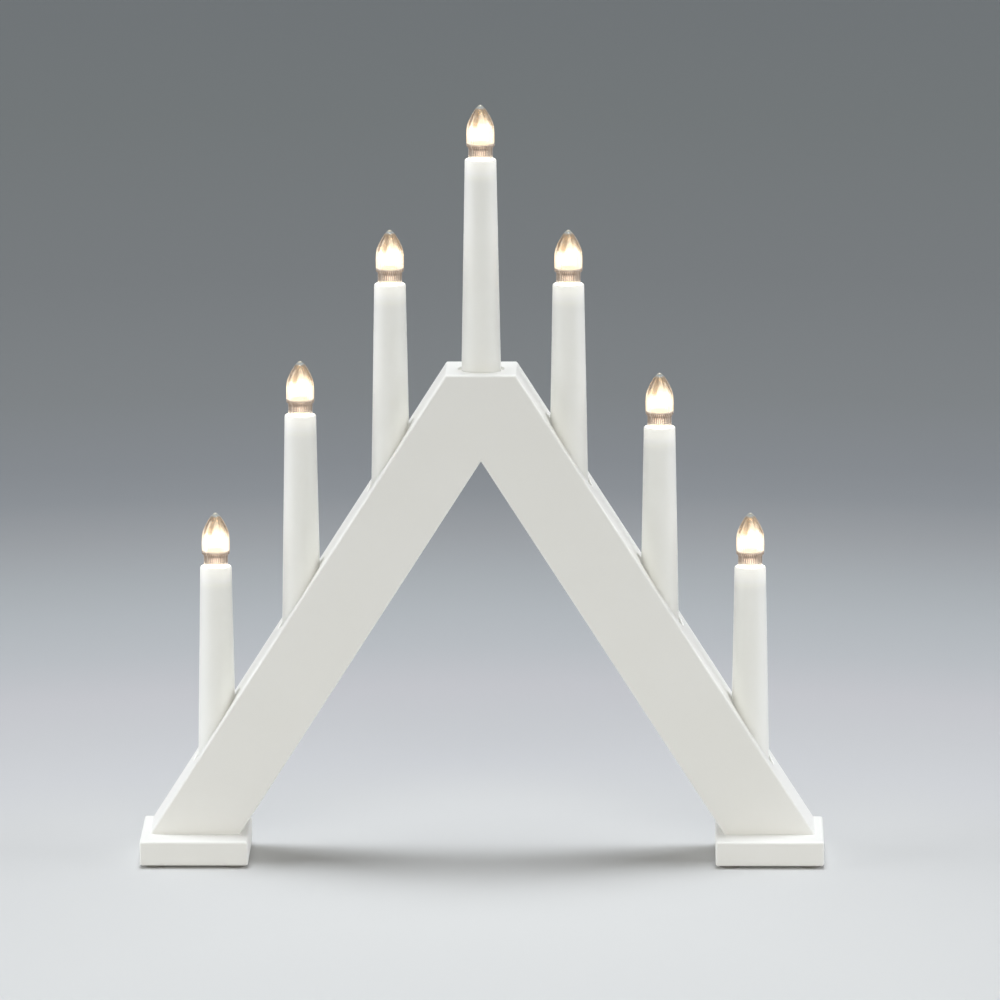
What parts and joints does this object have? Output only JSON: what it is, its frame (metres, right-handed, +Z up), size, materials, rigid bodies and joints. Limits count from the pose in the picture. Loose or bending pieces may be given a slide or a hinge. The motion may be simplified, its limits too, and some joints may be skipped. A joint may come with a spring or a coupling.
{
  "type": "candle arch",
  "caption": "V-shaped electric candle arch: two mitred wooden legs on foot blocks carry upright candle sleeves with screw-in torpedo lamps.",
  "frame": {"origin": "on the standing surface, under the middle of the foot blocks", "axes": "+X to the viewer's right along the arch's width, +Y to the back, +Z up; the front faces -Y"},
  "size_m": [0.3416, 0.056, 0.3805],
  "materials": {
    "painted_wood": "satin white paint",
    "bare_wood": "turned beech",
    "felt": "pressed felt",
    "plated_steel": "zinc plated",
    "grommet_rubber": "moulded",
    "wire_insulation": "extruded",
    "splice_plastic": "moulded",
    "candle_plastic": "moulded, satin",
    "holder_plastic": "moulded",
    "holder_brass": "pressed",
    "lamp_glass": "clear, fluted",
    "lamp_cap_metal": "nickel plated, rolled",
    "filament_wire": "glowing wire"
  },
  "bodies": {
    "arch": {"left_leg": "painted_wood", "right_leg": "painted_wood", "mitre_dowels": "bare_wood", "left_groove_cover": "painted_wood", "right_groove_cover": "painted_wood", "left_foot": "painted_wood", "right_foot": "painted_wood", "foot_pads": "felt", "cover_screws": "plated_steel", "foot_screws": "plated_steel", "cord_grommet": "grommet_rubber", "link_wires": "wire_insulation", "supply_wires": "wire_insulation", "wire_splices": "splice_plastic", "holder_springs": "holder_brass", "sleeve_left_low": "candle_plastic", "holder_left_low": "holder_plastic", "holder_shell_left_low": "holder_brass", "sleeve_left_mid": "candle_plastic", "holder_left_mid": "holder_plastic", "holder_shell_left_mid": "holder_brass", "sleeve_left_high": "candle_plastic", "holder_left_high": "holder_plastic", "holder_shell_left_high": "holder_brass", "sleeve_top": "candle_plastic", "holder_top": "holder_plastic", "holder_shell_top": "holder_brass", "sleeve_right_high": "candle_plastic", "holder_right_high": "holder_plastic", "holder_shell_right_high": "holder_brass", "sleeve_right_mid": "candle_plastic", "holder_right_mid": "holder_plastic", "holder_shell_right_mid": "holder_brass", "sleeve_right_low": "candle_plastic", "holder_right_low": "holder_plastic", "holder_shell_right_low": "holder_brass"},
    "lamp_left_low": {"lamp_glass_left_low": "lamp_glass", "lamp_cap_left_low": "lamp_cap_metal", "lamp_filament_left_low": "filament_wire"},
    "lamp_left_mid": {"lamp_glass_left_mid": "lamp_glass", "lamp_cap_left_mid": "lamp_cap_metal", "lamp_filament_left_mid": "filament_wire"},
    "lamp_left_high": {"lamp_glass_left_high": "lamp_glass", "lamp_cap_left_high": "lamp_cap_metal", "lamp_filament_left_high": "filament_wire"},
    "lamp_top": {"lamp_glass_top": "lamp_glass", "lamp_cap_top": "lamp_cap_metal", "lamp_filament_top": "filament_wire"},
    "lamp_right_high": {"lamp_glass_right_high": "lamp_glass", "lamp_cap_right_high": "lamp_cap_metal", "lamp_filament_right_high": "filament_wire"},
    "lamp_right_mid": {"lamp_glass_right_mid": "lamp_glass", "lamp_cap_right_mid": "lamp_cap_metal", "lamp_filament_right_mid": "filament_wire"},
    "lamp_right_low": {"lamp_glass_right_low": "lamp_glass", "lamp_cap_right_low": "lamp_cap_metal", "lamp_filament_right_low": "filament_wire"}
  },
  "joints": [
    {"name": "lamp_left_low_unscrew", "type": "slide", "parent": "arch", "child": "lamp_left_low", "axis": [0, 0, 1], "range_m": [0, 0.022]},
    {"name": "lamp_left_mid_unscrew", "type": "slide", "parent": "arch", "child": "lamp_left_mid", "axis": [0, 0, 1], "range_m": [0, 0.022]},
    {"name": "lamp_left_high_unscrew", "type": "slide", "parent": "arch", "child": "lamp_left_high", "axis": [0, 0, 1], "range_m": [0, 0.022]},
    {"name": "lamp_top_unscrew", "type": "slide", "parent": "arch", "child": "lamp_top", "axis": [0, 0, 1], "range_m": [0, 0.022]},
    {"name": "lamp_right_high_unscrew", "type": "slide", "parent": "arch", "child": "lamp_right_high", "axis": [0, 0, 1], "range_m": [0, 0.022]},
    {"name": "lamp_right_mid_unscrew", "type": "slide", "parent": "arch", "child": "lamp_right_mid", "axis": [0, 0, 1], "range_m": [0, 0.022]},
    {"name": "lamp_right_low_unscrew", "type": "slide", "parent": "arch", "child": "lamp_right_low", "axis": [0, 0, 1], "range_m": [0, 0.022]}
  ]
}
